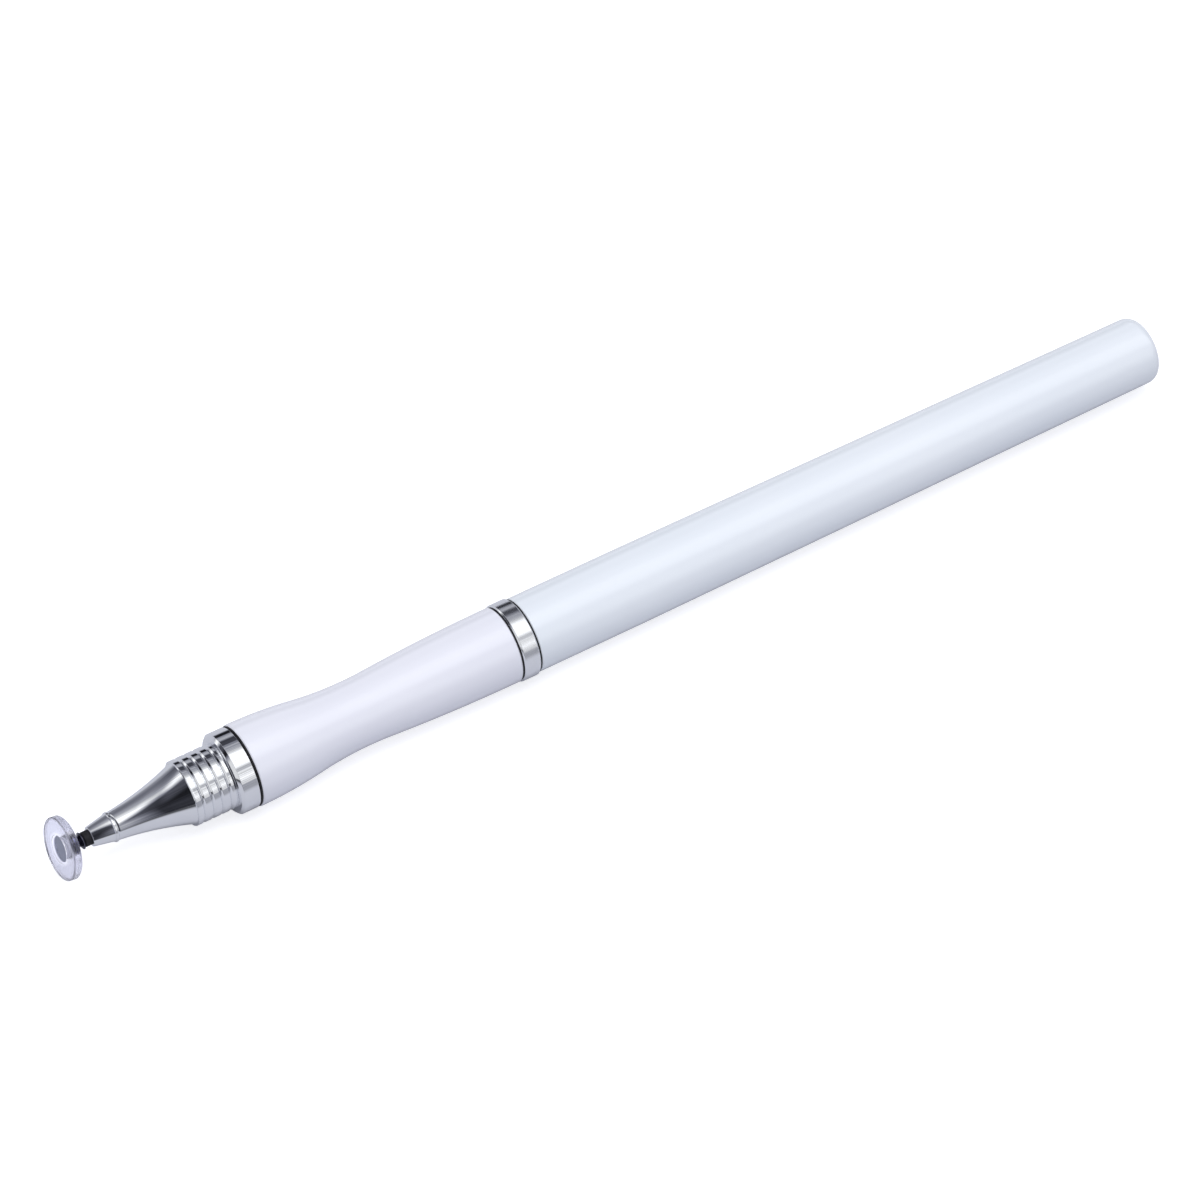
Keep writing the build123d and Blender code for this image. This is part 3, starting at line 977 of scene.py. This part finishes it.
def floor_material():
    """Matt and pale, filled up to white for the camera, with a painted shadow near the pen where metal mirrors it.
    """
    made = bpy.data.materials.new("floor_look")
    made.use_nodes = True
    tree = made.node_tree
    tree.nodes.clear()
    rays = add(tree, "ShaderNodeLightPath").outputs
    position = add(tree, "ShaderNodeNewGeometry").outputs["Position"]
    place = add(tree, "ShaderNodeSeparateXYZ", {"Vector": position}).outputs
    # Painted shadow on the floor near the pen, seen only in glossy rays
    deepest = between(tree, place["X"], *FLOOR_TIP_SPAN, FLOOR_PAINTED_SHADE, FLOOR_TIP_PAINTED_SHADE)
    painted_shadow = maths(tree, "MULTIPLY", between(tree, place["Y"], *FLOOR_PAINTED_SHADE_SPAN), deepest)
    painted_shadow = maths(tree, "MULTIPLY", painted_shadow, rays["Is Glossy Ray"])
    matt = add(tree, "ShaderNodeBsdfDiffuse", {"Color": mixed_colour(tree, painted_shadow, FLOOR_COLOUR, BLACK)})
    fill_level = maths(tree, "MULTIPLY", seen_rays(tree, rays), FLOOR_FILL)
    fill = add(tree, "ShaderNodeEmission", {"Color": (*WHITE, 1), "Strength": fill_level})
    both = add(tree, "ShaderNodeAddShader", {0: matt.outputs["BSDF"], 1: fill.outputs["Emission"]})
    add(tree, "ShaderNodeOutputMaterial", {"Surface": both.outputs["Shader"]})
    return made


def studio_floor():
    half = FLOOR_SIZE / 2
    corners = [(-half, -half, 0), (half, -half, 0), (half, half, 0), (-half, half, 0)]
    mesh = bpy.data.meshes.new("floor")
    mesh.from_pydata(corners, [], [(0, 1, 2, 3)])
    mesh.materials.append(floor_material())
    floor = bpy.data.objects.new("floor", mesh)
    bpy.context.scene.collection.objects.link(floor)


def room_level(tree, turn):
    """What straight pieces mirror: a soft box overhead, darker far walls and a paler near one."""
    box = maths(tree, "MULTIPLY", levels(tree, turn, ROOM_LEVELS), levels(tree, turn, ROOM_NEAR_EDGE))
    return maths(tree, "ADD", box, levels(tree, turn, ROOM_NEAR_WALL))


def front_level(tree, along, turn):
    """What the flared nose mirrors: the soft box's slanting front end, and a near wall that fades ahead."""
    ahead = maths(tree, "MAXIMUM", maths(tree, "SUBTRACT", FRONT_SLANT_START, along), 0.0)
    far = levels(tree, maths(tree, "ADD", turn, maths(tree, "MULTIPLY", ahead, FRONT_SLANT)), FRONT_LEVELS)
    slanted = maths(tree, "SUBTRACT", turn, maths(tree, "MULTIPLY", along, FRONT_SLANT))
    box = maths(tree, "MULTIPLY", far, levels(tree, slanted, FRONT_NEAR_EDGE))
    seam = levels(tree, between(tree, along, *FRONT_SEAM_SPAN), FRONT_SEAM)
    wall = between(tree, along, *FRONT_WALL_SPAN, FRONT_WALL_FOOT, FRONT_WALL_LEVEL)
    wall = maths(tree, "MULTIPLY", wall, levels(tree, turn, FRONT_NEAR_WALL))
    return maths(tree, "ADD", maths(tree, "MULTIPLY", box, seam), wall)


def mirrored_level(tree, along, across, up):
    """How bright the room is in a direction that metal mirrors."""
    turn = maths(tree, "MULTIPLY", maths(tree, "ARCTAN2", up, across), 1 / math.pi)
    in_front = between(tree, along, *FRONT_SPAN)
    lit = mixed(tree, in_front, room_level(tree, turn), front_level(tree, along, turn))
    clutter = levels(tree, streaks(tree, turn, STREAK_SCALE, 4.0), STREAK_LEVELS)
    lit = maths(tree, "MULTIPLY", lit, clutter)
    ahead = between(tree, along, *WALL_AHEAD_SPAN, 0.0, WALL_SHARE)
    near = between(tree, across, *WALL_NEAR_SPAN)
    return mixed(tree, maths(tree, "MULTIPLY", ahead, near), lit, WALL_AHEAD)


def studio_world():
    """White for the camera, the mirrored room for metal, and a plain sky that lights everything else."""
    world = bpy.data.worlds.new("studio")
    bpy.context.scene.world = world
    world.use_nodes = True
    tree = world.node_tree
    tree.nodes.clear()
    rays = add(tree, "ShaderNodeLightPath").outputs
    toward = add(tree, "ShaderNodeTexCoord").outputs["Generated"]
    parts = add(tree, "ShaderNodeSeparateXYZ", {"Vector": toward}).outputs
    level = mirrored_level(tree, parts["X"], parts["Y"], parts["Z"])
    tint = ramp(tree, level, [(0.0, MIRROR_SHADE), (MIRROR_LIGHT_START, SKY_COLOUR)])
    room = add(tree, "ShaderNodeBackground", {"Color": tint, "Strength": level}).outputs[0]
    sky = add(tree, "ShaderNodeBackground", {"Color": (*SKY_COLOUR, 1), "Strength": SKY_LEVEL}).outputs[0]
    white = add(tree, "ShaderNodeBackground", {"Color": (*WHITE, 1), "Strength": 1.0}).outputs[0]
    light = add(tree, "ShaderNodeMixShader", {0: rays["Is Glossy Ray"], 1: sky, 2: room}).outputs[0]
    shown = add(tree, "ShaderNodeMixShader", {0: seen_rays(tree, rays), 1: light, 2: white}).outputs[0]
    add(tree, "ShaderNodeOutputWorld", {"Surface": shown})


def studio_lamp():
    light = bpy.data.lights.new("overhead", "AREA")
    light.size = LAMP_SIZE
    light.energy = LAMP_WATTS
    lamp = bpy.data.objects.new("overhead", light)
    lamp.location = LAMP_PLACE
    lamp.visible_glossy = False
    bpy.context.scene.collection.objects.link(lamp)


studio_floor()
studio_world()
studio_lamp()

# Camera, at the photograph's viewing angle; its target is given in millimetres, below the pen's axis
CAMERA_AZIMUTH = math.radians(-31.4)
CAMERA_ELEVATION = math.radians(49.6)
CAMERA_DISTANCE = 0.641
CAMERA_LENS = 180.0
CAMERA_SENSOR = 36.0
CAMERA_TARGET_X = -2.31
CAMERA_TARGET_DROP = 0.06


def studio_camera():
    camera = bpy.data.objects.new("camera", bpy.data.cameras.new("camera"))
    bpy.context.scene.collection.objects.link(camera)
    bpy.context.scene.camera = camera
    camera.data.lens = CAMERA_LENS
    camera.data.sensor_width = CAMERA_SENSOR
    flat = math.cos(CAMERA_ELEVATION)
    back = Vector((
        math.sin(CAMERA_AZIMUTH) * flat, -math.cos(CAMERA_AZIMUTH) * flat, math.sin(CAMERA_ELEVATION)
    ))
    target = Vector((CAMERA_TARGET_X * MM, 0, (axis_height - CAMERA_TARGET_DROP) * MM))
    camera.location = target + back * CAMERA_DISTANCE
    camera.rotation_mode = "QUATERNION"
    camera.rotation_quaternion = (-back).to_track_quat("-Z", "Y")


studio_camera()
bpy.context.scene.view_settings.view_transform = "Standard"
